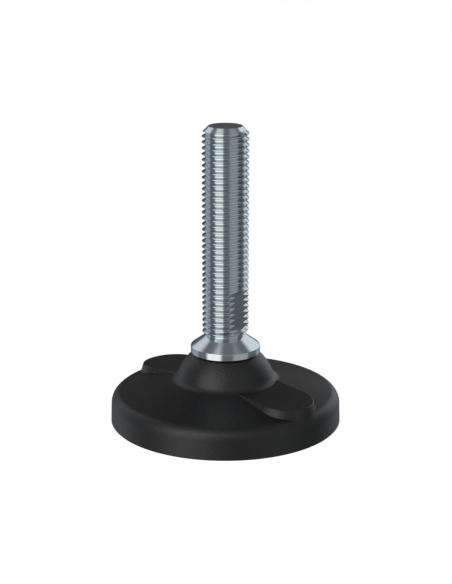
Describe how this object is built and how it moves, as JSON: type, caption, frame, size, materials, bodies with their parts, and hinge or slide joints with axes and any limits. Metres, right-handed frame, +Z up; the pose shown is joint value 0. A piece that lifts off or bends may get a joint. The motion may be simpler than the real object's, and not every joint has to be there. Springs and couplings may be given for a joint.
{
  "type": "machine foot",
  "caption": "Machine levelling foot: a threaded stud with wrench flats and a collar ends in a ball that tilts in a round black plastic base with flat-topped fixing lugs.",
  "frame": {"origin": "centre of the base's underside, on the floor", "axes": "+Z up the stud, +X out through the middle of one fixing lug; the wrench flats face along X at rest"},
  "size_m": [0.08, 0.08, 0.1037],
  "materials": {
    "polyamide": "black glass-filled polyamide, finely textured as moulded",
    "zinc_plated_steel": "turned and rolled steel, blue zinc-plated",
    "spring_steel": "drawn spring-steel wire"
  },
  "bodies": {
    "base": {"base": "polyamide"},
    "ring": {"retaining_ring": "spring_steel"},
    "stud": {"stud": "zinc_plated_steel"}
  },
  "joints": [
    {"name": "ring_spin", "type": "hinge", "parent": "base", "child": "ring", "pos_m": [0, 0, 0.011], "axis": [0, 0, 1], "continuous": true},
    {"name": "stud_tilt", "type": "hinge", "parent": "ring", "child": "stud", "pos_m": [0, 0, 0.011], "axis": [0, 1, 0], "range_deg": [-15, 15]}
  ]
}
